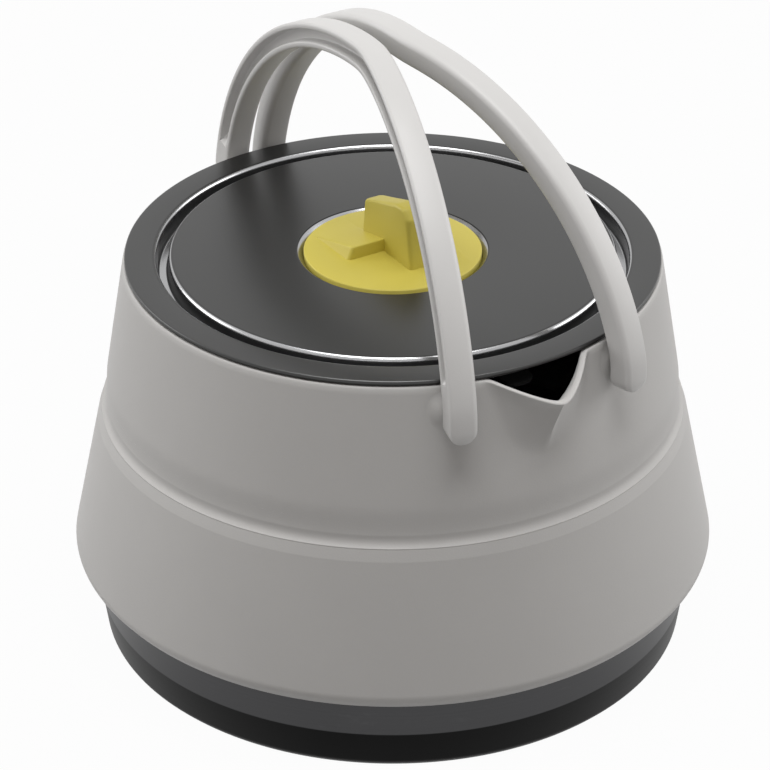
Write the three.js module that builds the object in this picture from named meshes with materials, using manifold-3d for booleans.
// Collapsible kettle: an aluminium pan, two silicone tiers joined by a fold, a pressed lid with a
// twist knob, and two bail handles that swing down to the sides.
// Millimetres, +Z up. The origin is the centre of the pan's underside, the spout points along -Y,
// and the kettle mirrors left to right across X = 0.
import * as THREE from 'three';
import { mergeVertices } from 'three/addons/utils/BufferGeometryUtils.js';
import Module from 'manifold-3d';

const wasm = await Module();
wasm.setup();

// Clearances, facets and angles
const clearance = 0.3;
const overrun = 4;
const ringSegments = 48;
const pinSegments = 12;
const bendSegments = 3;
const quarterTurn = 90;
const halfTurn = 180;
const fullTurn = 360;
const degrees = Math.PI / halfTurn;

// Pan
const panRadius = 73.0;
const panWall = 1.6;
const panCreaseHeight = 10.2;
const panFootInset = 1.2;
const panFootHeight = 1.5;
const panRestInset = 2.7;
const panCornerRise = 4.5;
const panCornerInset = 3.2;
const panFlangeHeight = 21.6;
const panFlangeThickness = 1.4;
const panFlangeReach = 3.6;
const panFlangeFillet = 0.9;
const heatRingDepth = 0.5;
const heatRingWidth = 2.6;
const heatRingShares = [0.4, 0.6, 0.8];
const linerThickness = 0.8;
const linerDepth = 7.2;
const linerWidth = 1.8;

// Lower silicone tier, from the bead round the pan's flange up to the lip at the seam
const lowerTierHeight = 39.2;
const lowerLean = 6.9;
const lowerWall = 2.0;
const beadWall = 2.0;
const beadUnderside = 1.3;
const beadTopLip = 1.3;
const beadRound = 2.25;
const lipShoulderDrop = 3.9;
const lipCrestInset = 1.0;
const lipCrestDrop = 1.2;
const lipBoreDepth = 5.4;
const lipRounding = 0.4;

// Upper silicone tier and the fold that joins it to the lower one
const seamHeight = 3.8;
const seamStep = 1.2;
const upperTierHeight = 32.6;
const upperLean = 5.4;
const upperWall = 2.0;
const mouthRounding = 0.6;
const wallDepthShares = [0, 0.2, 0.42, 0.58, 0.72, 0.84, 0.93];
const foldWall = 1.0;
const foldDip = 1.0;
const foldOverlap = 4.4;

// Spout, a V pinched out of the mouth
const spoutHalfAngle = 10.6;
const spoutReach = 5.6;
const spoutDip = 6.6;
const spoutFade = 17;
const spoutTipShare = 0.18;
const spoutFootShare = 0.08;
const spoutNarrowShare = 0.6;
const spoutFadePowerShare = 1.5;
const spoutArcHalfAngle = 16;
const spoutArcSegments = 18;
const mouthArcSegments = 42;

// Handles
const handleWidth = 6.8;
const handleThickness = 6.2;
const handleEdge = 1.1;
const handleLip = 1.5;
const archDrop = 12.2;
const archHeight = 70.8;
const archSetback = 3.8;
const archOverreach = 1.4;
const archBlend = 0.4;
const archSegments = 34;
const grooveDepth = 2.6;
const grooveDraft = 0.25;
const grooveRise = 9.9;
const grooveRamp = 2.4;
const frontTail = 4.8;
const rearTail = 3.4;
const tailRound = 3.2;
const tailThinShare = 0.3;
const tailAngles = [30, 60];
const flareRounding = 3.0;

// Pivots
const pivotDrop = 6.1;
const frontPivotAngle = 18.7;
const rearPivotAngle = 4.2;
const armGap = 2.0;
const bossRadius = 4.4;
const bossFaceRadius = 2.7;
const bossTiltGap = 0.8;
const bossSpigotRadius = 2.4;
const pinRadius = 1.2;
const pinDepth = 3.3;
const pinHeadRadius = 1.9;
const pinHeadThickness = 0.9;

// Mouth hoop, the ring that stiffens the mouth and holds the pivots
const hoopHeight = 5.2;
const hoopDrop = 1.2;
const hoopThickness = 1.4;
const hoopWallGap = 0.35;
const hoopGapAngle = 16;
const ledgeReach = 5.0;
const ledgeThickness = 0.8;
const ledgeFrontAngle = 30;
const ledgeRearAngle = 10;

// Lid
const lidInset = 0.4;
const lidProud = 1.4;
const lidSheet = 1.0;
const lidBend = 0.5;
const lidRimWidth = 6.3;
const lidGrooveWidth = 4.6;
const lidGrooveDepth = 4.4;
const lidGrooveTaper = 0.5;
const recessRadius = 23;
const recessDepth = 3.0;
const recessBevel = 0.9;
const gasketHeight = 2.6;
const gasketWidth = 1.3;

// Knob and lock
const knobGap = 1.5;
const knobProud = 0.9;
const knobEdge = 0.7;
const stemRadius = 3.6;
const finLength = 24;
const finThickness = 4.8;
const finRearHeight = 8;
const finFrontHeight = 13.3;
const finChamfer = 2.6;
const finRearRound = 1.6;
const finFoot = 0.6;
const rampReach = 10.4;
const rampHeight = 3.4;
const bushWall = 1.0;
const bushFlangeReach = 2.3;
const bushFlangeThickness = 1.3;
const lockBarGap = 3.35;
const lockBarWidth = 7.6;
const lockBarThickness = 1.0;
const lockBarPlay = 0.5;
const lockBarEnd = 3;
const screwRadius = 1.3;
const screwHeadRadius = 3.2;
const screwHeadHeight = 1.4;
const screwGrip = 6;
const washerRadius = 4.6;
const washerThickness = 0.6;

// Heights and radii that follow, from the pan up to the lid
const panFootRadius = panRadius - panFootInset;
const panRestRadius = panRadius - panRestInset;
const lowerBeadHeight = panFlangeHeight + panFlangeThickness;
const lowerRadius = panRadius + panFlangeReach + clearance + beadWall;
const lipHeight = lowerBeadHeight + lowerTierHeight;
const lipShoulderRadius = lowerRadius - lowerLean;
const lipCrestRadius = lipShoulderRadius - lipCrestInset;
const upperBottomHeight = lipHeight + seamHeight;
const upperBottomRadius = lipCrestRadius - seamStep;
const upperTopHeight = upperBottomHeight + upperTierHeight;
const upperTopRadius = upperBottomRadius - upperLean;
const pivotHeight = upperTopHeight - pivotDrop;
const wallInner = upperRadiusAt(pivotHeight) - upperWall;
const wallMiddle = wallInner + upperWall / 2;
const armRadius = upperRadiusAt(pivotHeight) + armGap + handleThickness / 2;
const hoopTop = upperTopHeight - hoopDrop;
const hoopBottom = hoopTop - hoopHeight;
const hoopOuter = upperRadiusAt(hoopTop) - upperWall - hoopWallGap;
const hoopInner = hoopOuter - hoopThickness;
const lidTop = upperTopHeight + lidProud;
const lidRadius = upperTopRadius - lidInset;
const grooveOuterRadius = lidRadius - lidRimWidth;
const grooveInnerRadius = grooveOuterRadius - lidGrooveWidth;
const knobRadius = recessRadius - knobGap;
const knobBottom = lidTop - recessDepth + clearance;
const knobTop = lidTop + knobProud;
const bushRadius = stemRadius + clearance + bushWall;
const lidBore = bushRadius + clearance;
const lockBarTop = hoopBottom - lockBarPlay;
const lockBarLength = 2 * (hoopInner - lockBarGap);
const stemBottom = lockBarTop + clearance;
const washerTop = lockBarTop - lockBarThickness - clearance;

// Materials
function paint(color, roughness, metalness) {
  return new THREE.MeshStandardMaterial({ color, roughness, metalness });
}

const anodised = paint(0x3f4042, 0.45, 0.9);
const lidMetal = paint(0x626263, 0.42, 0.85);
const steel = paint(0xb8babc, 0.3, 1);
const silicone = paint(0xa9a7a3, 0.62, 0);
const webSilicone = paint(0x8c8a87, 0.66, 0);
const handlePlastic = paint(0xd5d3d1, 0.5, 0);
const knobPlastic = paint(0xd2c355, 0.55, 0);
const darkPlastic = paint(0x3a3b3c, 0.6, 0);
const rubber = paint(0x77787a, 0.7, 0);

const kettle = new THREE.Group();

function addPiece(parent, name, geometry, material) {
  const mesh = new THREE.Mesh(geometry, material);
  mesh.name = name;
  parent.add(mesh);
  return mesh;
}

// Turns a closed geometry into a solid that can be joined and cut
function toSolid(geometry) {
  const bare = geometry.clone();
  bare.deleteAttribute('normal');
  bare.deleteAttribute('uv');
  const welded = mergeVertices(bare);
  const corners = [];
  for (let at = 0; at < welded.index.count; at += 3) {
    const [a, b, c] = [0, 1, 2].map((step) => welded.index.getX(at + step));
    if (a !== b && b !== c && c !== a) corners.push(a, b, c);
  }
  return new wasm.Manifold(new wasm.Mesh({
    numProp: 3,
    vertProperties: new Float32Array(welded.attributes.position.array),
    triVerts: new Uint32Array(corners),
  }));
}

function toGeometry(solid) {
  const mesh = solid.getMesh();
  const geometry = new THREE.BufferGeometry();
  geometry.setAttribute('position', new THREE.BufferAttribute(new Float32Array(mesh.vertProperties), 3));
  geometry.setIndex(Array.from(mesh.triVerts));
  geometry.computeVertexNormals();
  return geometry;
}

// Revolves an outline of [radius, height] points about Z. The outline runs anticlockwise
// in the radius-height plane and closes on itself or on the axis.
function revolve(outline, closed = true, segments = ringSegments) {
  const points = outline.map(([radius, height]) => new THREE.Vector2(radius, height));
  if (closed) points.push(points[0].clone());
  return new THREE.LatheGeometry(points, segments).rotateX(Math.PI / 2);
}

// Points of a rounded corner for a revolved outline, about a centre, between two angles
function bend(radius, height, rounding, from, to) {
  const points = [];
  for (let step = 0; step <= bendSegments; step += 1) {
    const angle = (from + ((to - from) * step) / bendSegments) * degrees;
    points.push([radius + rounding * Math.cos(angle), height + rounding * Math.sin(angle)]);
  }
  return points;
}

// Skins a list of rings, each with the same number of points, and caps both ends
function loft(rings, closedRound) {
  const count = rings[0].length;
  const positions = rings.flat().flatMap((point) => [point.x, point.y, point.z]);
  const index = [];
  const last = closedRound ? rings.length : rings.length - 1;
  for (let ring = 0; ring < last; ring += 1) {
    const next = (ring + 1) % rings.length;
    for (let side = 0; side < count; side += 1) {
      const over = (side + 1) % count;
      const a = ring * count + side;
      const b = ring * count + over;
      const c = next * count + over;
      const d = next * count + side;
      index.push(a, b, c, a, c, d);
    }
  }
  if (!closedRound) {
    capEnd(index, rings[0], 0, true);
    capEnd(index, rings[rings.length - 1], (rings.length - 1) * count, false);
  }
  const geometry = new THREE.BufferGeometry();
  geometry.setAttribute('position', new THREE.Float32BufferAttribute(positions, 3));
  geometry.setIndex(index);
  geometry.computeVertexNormals();
  return geometry;
}

// Closes one end of a loft by cutting its outline into triangles in its own plane
function capEnd(index, ring, start, flipped) {
  const centre = ring.reduce((sum, point) => sum.add(point), new THREE.Vector3()).divideScalar(ring.length);
  const across = ring[0].clone().sub(centre).normalize();
  const normal = new THREE.Vector3();
  ring.forEach((point, side) => {
    const over = ring[(side + 1) % ring.length];
    normal.add(point.clone().sub(centre).cross(over.clone().sub(centre)));
  });
  normal.normalize();
  const up = normal.clone().cross(across);
  const flat = ring.map((point) => {
    const arm = point.clone().sub(centre);
    return new THREE.Vector2(arm.dot(across), arm.dot(up));
  });
  THREE.ShapeUtils.triangulateShape(flat, []).forEach(([a, b, c]) => {
    const corners = [a + start, b + start, c + start];
    if (flipped) corners.reverse();
    index.push(...corners);
  });
}

// A round bar along +Z from one height to another
function rod(radius, from, to, segments = pinSegments, farRadius = radius) {
  const bar = new THREE.CylinderGeometry(farRadius, radius, to - from, segments);
  return bar.rotateX(Math.PI / 2).translate(0, 0, (from + to) / 2);
}

// Radius of the upper tier's outer face at a height, away from the spout
function upperRadiusAt(height) {
  const taper = (upperBottomRadius - upperTopRadius) / (upperTopHeight - upperBottomHeight);
  return upperTopRadius + taper * (upperTopHeight - height);
}

// Radius of the lower tier's outer face at a height
function lowerRadiusAt(height) {
  const top = lipHeight - lipShoulderDrop;
  const taper = (lowerRadius - lipShoulderRadius) / (top - lowerBeadHeight);
  return lipShoulderRadius + taper * (top - height);
}

function makePan() {
  const flangeTop = panFlangeHeight + panFlangeThickness;
  const inner = panRadius - panWall;
  const outline = [[0, 0]];
  heatRingShares.forEach((share) => {
    const radius = share * panRestRadius;
    outline.push([radius, 0]);
    outline.push([radius + heatRingWidth / 2, heatRingDepth]);
    outline.push([radius + heatRingWidth, 0]);
  });
  outline.push([panRestRadius, 0]);
  outline.push([panFootRadius, panFootHeight]);
  outline.push([panRadius, panCreaseHeight]);
  outline.push([panRadius, panFlangeHeight - panFlangeFillet]);
  outline.push([panRadius + panFlangeFillet / 2, panFlangeHeight]);
  outline.push([panRadius + panFlangeReach, panFlangeHeight]);
  outline.push([panRadius + panFlangeReach, flangeTop]);
  outline.push([inner + panFlangeFillet, flangeTop]);
  outline.push([inner, flangeTop - panFlangeFillet]);
  outline.push([inner, panWall + panCornerRise]);
  outline.push([inner - panCornerInset, panWall]);
  outline.push([0, panWall]);
  return revolve(outline, false);
}

// A steel ring pressed into the pan's mouth, whose flange holds the silicone down on the pan's flange
function makeClampRing() {
  const outer = panRadius - panWall - clearance;
  const seat = panFlangeHeight + panFlangeThickness + beadTopLip + 2 * clearance;
  return revolve([
    [outer - linerThickness, seat - linerDepth],
    [outer, seat - linerDepth],
    [outer, seat],
    [panRadius + linerWidth, seat],
    [panRadius + linerWidth, seat + linerThickness],
    [outer - linerThickness, seat + linerThickness],
  ]);
}

function makeLowerTier() {
  const slotBottom = panFlangeHeight - clearance;
  const slotTop = panFlangeHeight + panFlangeThickness + clearance;
  const slotRadius = panRadius + panFlangeReach + clearance;
  const bottom = slotBottom - beadUnderside;
  const neck = panRadius + clearance + panFlangeFillet / 2;
  const wallFoot = slotTop + beadTopLip + lowerWall;
  const bore = upperBottomRadius + clearance;
  return revolve([
    [neck, bottom],
    ...bend(lowerRadius - beadRound, bottom + beadRound, beadRound, -quarterTurn, 0),
    [lowerRadius, lowerBeadHeight],
    [lipShoulderRadius, lipHeight - lipShoulderDrop],
    [lipCrestRadius, lipHeight - lipCrestDrop],
    [lipCrestRadius - lipRounding / 2, lipHeight - lipRounding / 2],
    [bore + lipRounding / 2, lipHeight],
    [bore, lipHeight - lipRounding],
    [bore, lipHeight - lipBoreDepth],
    [lowerRadiusAt(wallFoot) - lowerWall, wallFoot],
    [lowerRadiusAt(wallFoot) - lowerWall - lipRounding, slotTop + beadTopLip],
    [neck, slotTop + beadTopLip],
    [neck, slotTop],
    [slotRadius, slotTop],
    [slotRadius, slotBottom],
    [neck, slotBottom],
  ]);
}

// The thin fold between the tiers, a shallow groove when the kettle stands up
function makeFold() {
  const top = upperBottomHeight - clearance;
  const bottom = lipHeight - foldOverlap;
  const middle = (top + lipHeight) / 2;
  const outer = upperBottomRadius;
  return revolve([
    [outer - foldWall, bottom],
    [outer, bottom],
    [outer, lipHeight - foldDip],
    [outer - foldDip, middle],
    [outer - foldDip / 2, top],
    [outer - foldDip / 2 - foldWall, top],
    [outer - foldDip - foldWall, middle],
    [outer - foldWall, lipHeight - foldDip],
  ]);
}

// How strongly the spout acts at an angle from its middle: 1 at the tip, falling in a rounded V
function spoutStrength(angle, halfAngle) {
  const away = Math.abs(angle) / halfAngle;
  const slope = 1 + spoutTipShare - Math.hypot(away, spoutTipShare);
  return (slope + Math.hypot(slope, spoutFootShare)) / 2;
}

// Height of the mouth's edge at an angle from the spout's middle
function mouthHeightAt(angle) {
  return upperTopHeight - spoutDip * spoutStrength(angle, spoutHalfAngle);
}

// How far the spout pushes the wall out, at an angle and a depth below the mouth's edge
function spoutPush(angle, depth) {
  const fade = Math.max(0, 1 - depth / spoutFade);
  const halfAngle = spoutHalfAngle * (spoutNarrowShare + (1 - spoutNarrowShare) * fade);
  return spoutReach * spoutStrength(angle, halfAngle) * fade ** spoutFadePowerShare;
}

// Angles round the mouth, in degrees from the spout, close together across the spout
function wallAngles() {
  const angles = [];
  const fineStep = (2 * spoutArcHalfAngle) / spoutArcSegments;
  for (let step = 0; step < spoutArcSegments; step += 1) angles.push(-spoutArcHalfAngle + step * fineStep);
  const coarseStep = (fullTurn - 2 * spoutArcHalfAngle) / mouthArcSegments;
  for (let step = 0; step < mouthArcSegments; step += 1) angles.push(spoutArcHalfAngle + step * coarseStep);
  return angles;
}

// The upper tier as a skin round the mouth. A margin makes it fatter by that much on both faces.
function upperTierSkin(margin) {
  const rings = wallAngles().map((angle) => {
    const top = mouthHeightAt(angle) + margin;
    const bottom = upperBottomHeight - margin;
    const outward = (height, inset) => {
      const radius = upperRadiusAt(height) + spoutPush(angle, Math.max(0, top - height)) - inset;
      const turn = angle * degrees;
      return new THREE.Vector3(radius * Math.sin(turn), -radius * Math.cos(turn), height);
    };
    const heights = wallDepthShares.map((share) => bottom + share * (top - mouthRounding - bottom));
    const outer = heights.map((height) => outward(height, -margin));
    const lip = [
      outward(top - mouthRounding / 2, -margin),
      outward(top, mouthRounding / 2 - margin),
      outward(top, upperWall + margin - mouthRounding / 2),
      outward(top - mouthRounding / 2, upperWall + margin),
    ];
    const innerHeights = heights.filter((height, at) => at % 2 === 0);
    const inner = innerHeights.map((height) => outward(height, upperWall + margin));
    return [...outer, ...lip, ...inner.reverse()].reverse();
  });
  return loft(rings, true);
}

// The four pivots. Each handle turns about the straight line through its front and rear pins.
const pivots = [1, -1].flatMap((side) => {
  const at = (angle, along) => new THREE.Vector3(
    side * armRadius * Math.sin(angle * degrees),
    along * armRadius * Math.cos(angle * degrees),
    pivotHeight,
  );
  const front = at(frontPivotAngle, -1);
  const rear = at(rearPivotAngle, 1);
  const forward = front.clone().sub(rear).normalize();
  const hand = side > 0 ? 'right' : 'left';
  return [
    { name: `front_${hand}`, side, place: front, outward: forward },
    { name: `rear_${hand}`, side, place: rear, outward: forward.clone().negate() },
  ];
});

// Moves a geometry made along +Z so that +Z points out of the pivot and zero lies in the arm's middle
function seatOnPivot(geometry, pivot) {
  const turn = new THREE.Quaternion().setFromUnitVectors(new THREE.Vector3(0, 0, 1), pivot.outward);
  return geometry.applyQuaternion(turn).translate(pivot.place.x, pivot.place.y, pivot.place.z);
}

// Distance along a pivot's line from the arm's middle in to a cylinder of this radius about Z
function reachTo(pivot, radius) {
  const { place, outward } = pivot;
  const along = place.x * outward.x + place.y * outward.y;
  const away = place.x ** 2 + place.y ** 2 - along ** 2;
  return along - Math.sqrt(radius ** 2 - away);
}

function makeUpperTier() {
  let tier = toSolid(upperTierSkin(0));
  pivots.forEach((pivot) => {
    const hole = rod(bossSpigotRadius + clearance, -reachTo(pivot, hoopInner), -handleThickness / 2);
    tier = tier.subtract(toSolid(seatOnPivot(hole, pivot)));
  });
  return toGeometry(tier);
}

// A flat ring part between two angles measured from the spout, as an extruded arc
function arcBand(inner, outer, from, to, bottom, top) {
  const start = (from - quarterTurn) * degrees;
  const end = (to - quarterTurn) * degrees;
  const shape = new THREE.Shape();
  shape.absarc(0, 0, outer, start, end, false);
  shape.absarc(0, 0, inner, end, start, true);
  const curveSegments = Math.round(((to - from) / fullTurn) * ringSegments / 2);
  const band = new THREE.ExtrudeGeometry(shape, { depth: top - bottom, bevelEnabled: false, curveSegments });
  return band.translate(0, 0, bottom);
}

function makeHoop() {
  const ledgeInner = hoopInner - ledgeReach;
  const ledgeTop = hoopBottom + ledgeThickness;
  const ring = arcBand(hoopInner, hoopOuter, hoopGapAngle, fullTurn - hoopGapAngle, hoopBottom, hoopTop);
  let hoop = toSolid(ring);
  const ledges = [
    [ledgeFrontAngle, halfTurn - ledgeRearAngle],
    [halfTurn + ledgeRearAngle, fullTurn - ledgeFrontAngle],
  ];
  ledges.forEach(([from, to]) => {
    const ledge = arcBand(ledgeInner, hoopInner + hoopThickness / 2, from, to, hoopBottom, ledgeTop);
    hoop = hoop.add(toSolid(ledge));
  });
  pivots.forEach((pivot) => {
    const hole = rod(pinRadius + clearance, -reachTo(pivot, hoopInner) - overrun, -handleThickness / 2);
    hoop = hoop.subtract(toSolid(seatOnPivot(hole, pivot)));
  });
  return toGeometry(hoop);
}

// A low round boss between wall and arm, with a spigot through the wall for the pin. Its face
// stands back further than the clearance, because the arm is turned a little to the hinge line.
function makeBoss(pivot) {
  const face = -handleThickness / 2 - clearance - bossTiltGap;
  const dome = rod(bossRadius, -reachTo(pivot, wallMiddle), face, pinSegments, bossFaceRadius);
  const spigot = rod(bossSpigotRadius, -reachTo(pivot, wallInner), face - clearance);
  const bore = rod(pinRadius + clearance, -reachTo(pivot, hoopInner), face + overrun);
  const trimmed = toSolid(seatOnPivot(dome, pivot)).subtract(toSolid(upperTierSkin(clearance)));
  const boss = trimmed.add(toSolid(seatOnPivot(spigot, pivot)));
  return toGeometry(boss.subtract(toSolid(seatOnPivot(bore, pivot))));
}

// A headed pin, from its head inside the hoop to a blind hole in the handle's arm
function makePin(pivot) {
  const headTop = -reachTo(pivot, hoopInner) - 2 * clearance;
  const tip = -handleThickness / 2 + pinDepth - clearance;
  const outline = [
    [0, headTop - pinHeadThickness],
    [pinHeadRadius, headTop - pinHeadThickness],
    [pinHeadRadius, headTop],
    [pinRadius, headTop],
    [pinRadius, tip],
    [0, tip],
  ];
  return seatOnPivot(revolve(outline, false, pinSegments), pivot);
}

// Bend of the handles in plan: the softened distance ahead of the middle, next to nothing behind it
function flareAt(along) {
  return Math.hypot(along, flareRounding) - along;
}

// Middle line of the right handle: half an ellipse in side view, its top set back a little, that runs
// into straight arms at the pivots. In plan it runs straight forward from the rear pivot and turns
// out to the front one under the top of the arch.
function archPoint(turn) {
  const [front, rear] = [pivots[0].place, pivots[1].place];
  const arm = Math.cos(turn) > 0 ? -front.y : rear.y;
  const ellipse = (arm + archOverreach) * Math.abs(Math.cos(turn));
  const reach = (ellipse + arm - Math.hypot(ellipse - arm, archBlend)) / 2;
  const along = archSetback * Math.sin(turn) ** 2 - Math.sign(Math.cos(turn)) * reach;
  const height = pivotHeight - archDrop + archHeight * Math.sin(turn);
  const spread = flareAt(along) / flareAt(front.y);
  return new THREE.Vector3(rear.x + (front.x - rear.x) * spread, along, height);
}

// Level direction square to the middle line in plan, at a place along the kettle
function archLevelAt(along) {
  const [front, rear] = [pivots[0].place, pivots[1].place];
  const flareSlope = along / Math.hypot(along, flareRounding) - 1;
  const slope = ((front.x - rear.x) * flareSlope) / flareAt(front.y);
  return new THREE.Vector3(1, -slope, 0).normalize();
}

// How far round the arch its middle line reaches a height, measured from the front
function archTurnAt(height) {
  return Math.asin((height - pivotHeight + archDrop) / archHeight);
}

// Handle section: a rounded bar with a groove in its outward side, as [across, outward] pairs
function handleSection(depth) {
  const across = handleWidth / 2;
  const thick = handleThickness / 2;
  const groove = thick - handleLip;
  return [
    [-across + handleEdge, -thick],
    [across - handleEdge, -thick],
    [across, -thick + handleEdge],
    [across, -groove],
    [across - depth, -groove + grooveDraft],
    [across - depth, groove - grooveDraft],
    [across, groove],
    [across, thick - handleEdge],
    [across - handleEdge, thick],
    [-across + handleEdge, thick],
    [-across, thick - handleEdge],
    [-across, -thick + handleEdge],
  ];
}

// Places along the arch, from the tip of the front tail to the tip of the rear one,
// each with the share of the full section it has there
function handleStations() {
  const frontTip = pivotHeight - frontTail;
  const rearTip = pivotHeight - rearTail;
  const from = archTurnAt(frontTip + tailRound);
  const to = Math.PI - archTurnAt(rearTip + tailRound);
  const roundOff = (tip) => tailAngles.map((angle) => ({
    turn: archTurnAt(tip + tailRound * (1 - Math.cos(angle * degrees))),
    share: Math.sin(angle * degrees),
  }));
  const rear = roundOff(rearTip).map(({ turn, share }) => ({ turn: Math.PI - turn, share }));
  const arch = [];
  for (let step = 0; step <= archSegments; step += 1) {
    arch.push({ turn: from + ((to - from) * step) / archSegments, share: 1 });
  }
  return [...roundOff(frontTip), ...arch, ...rear.reverse()];
}

// Skin of a handle, mirrored for the left one. The section keeps square to its way in plan.
function handleSkin(side) {
  const rings = handleStations().map(({ turn, share }) => {
    const middle = archPoint(turn);
    const tangent = archPoint(turn + degrees).sub(archPoint(turn - degrees)).normalize();
    const outward = archLevelAt(middle.y).cross(tangent).normalize();
    const across = tangent.clone().cross(outward);
    const rise = middle.z - pivotHeight - grooveRise;
    const depth = grooveDepth * THREE.MathUtils.smoothstep(rise, -grooveRamp / 2, grooveRamp / 2);
    const thin = 1 - tailThinShare * (1 - share);
    return handleSection(depth).map(([wide, thick]) => {
      const point = middle.clone().addScaledVector(across, wide * share);
      point.addScaledVector(outward, thick * thin);
      point.x *= side;
      return point;
    });
  });
  return loft(side > 0 ? rings.reverse() : rings, false);
}

function makeHandle(side) {
  let handle = toSolid(handleSkin(side));
  pivots.filter((pivot) => pivot.side === side).forEach((pivot) => {
    const socket = rod(pinRadius + clearance, -handleThickness / 2 - overrun, pinDepth - handleThickness / 2);
    handle = handle.subtract(toSolid(seatOnPivot(socket, pivot)));
  });
  return toGeometry(handle);
}

// Pressed lid: flat rim, a narrow groove that stiffens it, a flat middle and a round recess for the knob
function makeLid() {
  const grooveFloor = lidTop - lidGrooveDepth;
  const recessFloor = lidTop - recessDepth;
  const under = lidTop - lidSheet;
  const inner = grooveInnerRadius;
  const outer = grooveOuterRadius;
  const recess = recessRadius - recessBevel;
  return revolve([
    [lidBore, recessFloor - lidSheet],
    [recess, recessFloor - lidSheet],
    [recessRadius + lidSheet, under],
    [inner - lidSheet, under],
    [inner - lidSheet + lidGrooveTaper, grooveFloor - lidSheet],
    [outer + lidSheet - lidGrooveTaper, grooveFloor - lidSheet],
    [outer + lidSheet, under],
    [lidRadius - lidBend / 2, under],
    [lidRadius, under + lidBend / 2],
    [lidRadius, lidTop - lidBend / 2],
    [lidRadius - lidBend / 2, lidTop],
    [outer + lidBend, lidTop],
    [outer, lidTop - lidBend],
    [outer - lidGrooveTaper, grooveFloor],
    [inner + lidGrooveTaper, grooveFloor],
    [inner, lidTop - lidBend],
    [inner - lidBend, lidTop],
    [recessRadius + lidBend, lidTop],
    [recess, recessFloor],
    [lidBore, recessFloor],
  ]);
}

// Seal between the lid's groove and the mouth hoop
function makeGasket() {
  const top = lidTop - lidSheet - clearance;
  const inner = grooveOuterRadius + lidSheet + clearance;
  return revolve([
    [inner, top - gasketHeight],
    [inner + gasketWidth / 2, top - gasketHeight],
    [inner + gasketWidth, top - gasketHeight / 2],
    [inner + gasketWidth, top],
    [inner, top],
  ]);
}

// Side outline of the knob's fin in [along, height], the spout end at negative along
function finShape() {
  const front = -finLength / 2;
  const rear = finLength / 2;
  const shape = new THREE.Shape();
  shape.moveTo(rear, -finFoot);
  shape.lineTo(rear, finRearHeight - finRearRound);
  shape.quadraticCurveTo(rear, finRearHeight, rear - finRearRound, finRearHeight);
  shape.lineTo(front + finChamfer, finFrontHeight);
  shape.lineTo(front, finFrontHeight - finChamfer);
  shape.lineTo(front, -finFoot);
  return shape;
}

// Stands an outline of [along, height] up as a plate between two places across the kettle
function standPlate(shape, from, to, bevel) {
  const bevelled = bevel > 0;
  const plate = new THREE.ExtrudeGeometry(shape, {
    depth: to - from - 2 * bevel,
    bevelEnabled: bevelled,
    bevelThickness: bevel,
    bevelSize: bevel,
    bevelOffset: -bevel,
    bevelSegments: 1,
    curveSegments: bendSegments,
  });
  const stand = new THREE.Matrix4().makeBasis(
    new THREE.Vector3(0, 1, 0),
    new THREE.Vector3(0, 0, 1),
    new THREE.Vector3(1, 0, 0),
  );
  return plate.applyMatrix4(stand).translate(from + bevel, 0, knobTop);
}

// Wedge beside the fin, rising from the fin's end to a step halfway along it
function rampShape() {
  const shape = new THREE.Shape();
  shape.moveTo(finLength / 2, -finFoot);
  shape.lineTo(finLength / 2, 0);
  shape.lineTo(0, rampHeight);
  shape.lineTo(0, -finFoot);
  return shape;
}

// Knob in one moulding: disc, stem down through the lid, fin and two wedges
function makeKnob() {
  const body = revolve([
    [0, stemBottom],
    [stemRadius, stemBottom],
    [stemRadius, knobBottom],
    [knobRadius, knobBottom],
    [knobRadius, knobTop - knobEdge],
    [knobRadius - knobEdge, knobTop],
    [0, knobTop],
  ], false);
  const half = finThickness / 2;
  const ramp = standPlate(rampShape(), -half - rampReach, -half + finFoot, 0);
  const otherRamp = ramp.clone().rotateZ(Math.PI);
  const bore = rod(screwRadius, stemBottom - overrun, stemBottom + screwGrip);
  return toGeometry(
    toSolid(body)
      .add(toSolid(standPlate(finShape(), -half, half, knobEdge)))
      .add(toSolid(ramp))
      .add(toSolid(otherRamp))
      .subtract(toSolid(bore)),
  );
}

// Flanged sleeve that the knob's stem turns in
function makeBush() {
  const flangeTop = lidTop - recessDepth - lidSheet - clearance;
  const bore = stemRadius + clearance;
  return revolve([
    [bore, flangeTop - bushFlangeThickness],
    [lidBore + bushFlangeReach, flangeTop - bushFlangeThickness],
    [lidBore + bushFlangeReach, flangeTop],
    [bushRadius, flangeTop],
    [bushRadius, knobBottom - clearance],
    [bore, knobBottom - clearance],
  ], true, pinSegments);
}

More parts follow.
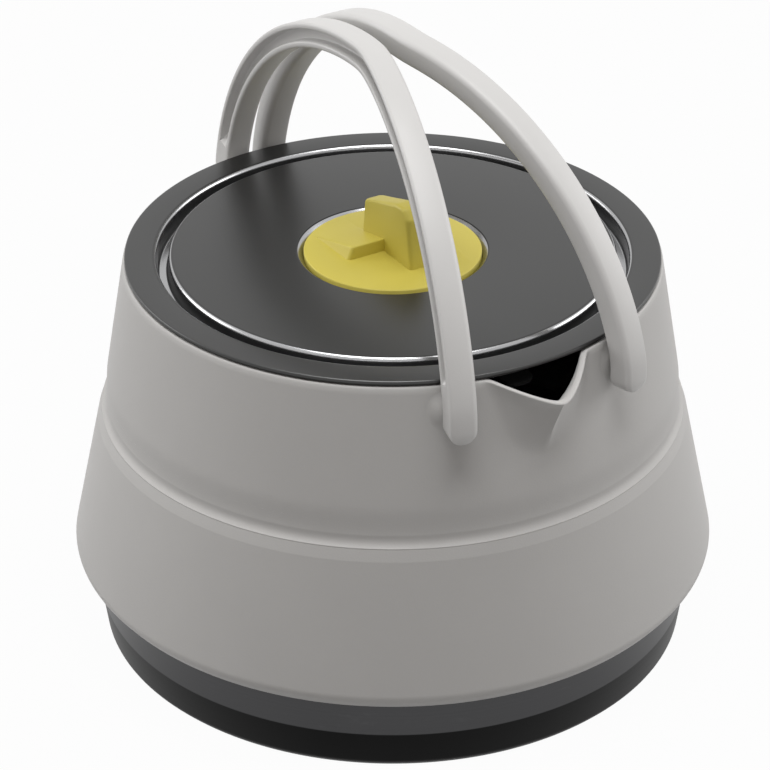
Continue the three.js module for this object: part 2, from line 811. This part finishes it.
// Flat bar under the lid. In line with the spout it passes the gaps in the hoop's ledge,
// and a quarter turn brings its ends under the ledge.
function makeLockBar() {
  const half = lockBarLength / 2;
  const side = lockBarWidth / 2;
  const shape = new THREE.Shape();
  shape.moveTo(-side, -half + lockBarEnd);
  shape.quadraticCurveTo(-side, -half, 0, -half);
  shape.quadraticCurveTo(side, -half, side, -half + lockBarEnd);
  shape.lineTo(side, half - lockBarEnd);
  shape.quadraticCurveTo(side, half, 0, half);
  shape.quadraticCurveTo(-side, half, -side, half - lockBarEnd);
  const hole = new THREE.Path();
  hole.absarc(0, 0, screwRadius + clearance, 0, 2 * Math.PI, false);
  shape.holes.push(hole);
  const depth = lockBarThickness;
  const bar = new THREE.ExtrudeGeometry(shape, { depth, bevelEnabled: false, curveSegments: bendSegments });
  return bar.translate(0, 0, lockBarTop - lockBarThickness);
}

function makeWasher() {
  const bore = screwRadius + clearance;
  return revolve([
    [bore, washerTop - washerThickness],
    [washerRadius, washerTop - washerThickness],
    [washerRadius, washerTop],
    [bore, washerTop],
  ], true, pinSegments);
}

function makeScrew() {
  const headTop = washerTop - washerThickness - clearance;
  const tip = stemBottom + screwGrip - clearance;
  const shank = screwRadius - clearance;
  return revolve([
    [0, headTop - screwHeadHeight],
    [screwHeadRadius, headTop - screwHeadHeight],
    [screwHeadRadius, headTop],
    [shank, headTop],
    [shank, tip],
    [0, tip],
  ], false, pinSegments);
}

// Pan and lower tier, which stand still
const base = new THREE.Group();
addPiece(base, 'base_pan', makePan(), anodised);
addPiece(base, 'base_clamp_ring', makeClampRing(), steel);
addPiece(base, 'lower_wall', makeLowerTier(), silicone);
addPiece(base, 'fold_web', makeFold(), webSilicone);
kettle.add(base);

// Upper tier with its hoop and pivots, which slides down into the lower tier
const upper = new THREE.Group();
addPiece(upper, 'upper_wall', makeUpperTier(), silicone);
addPiece(upper, 'mouth_hoop', makeHoop(), darkPlastic);
pivots.forEach((pivot) => {
  addPiece(upper, `pivot_boss_${pivot.name}`, makeBoss(pivot), silicone);
  addPiece(upper, `pivot_pin_${pivot.name}`, makePin(pivot), steel);
});
kettle.add(upper);

addPiece(kettle, 'left_handle', makeHandle(-1), handlePlastic);
addPiece(kettle, 'right_handle', makeHandle(1), handlePlastic);

const lid = new THREE.Group();
addPiece(lid, 'lid_plate', makeLid(), lidMetal);
addPiece(lid, 'lid_gasket', makeGasket(), rubber);
addPiece(lid, 'knob_bush', makeBush(), darkPlastic);
kettle.add(lid);

const knob = new THREE.Group();
addPiece(knob, 'lid_knob', makeKnob(), knobPlastic);
addPiece(knob, 'lock_bar', makeLockBar(), darkPlastic);
addPiece(knob, 'knob_washer', makeWasher(), steel);
addPiece(knob, 'knob_screw', makeScrew(), steel);
kettle.add(knob);

export default kettle;
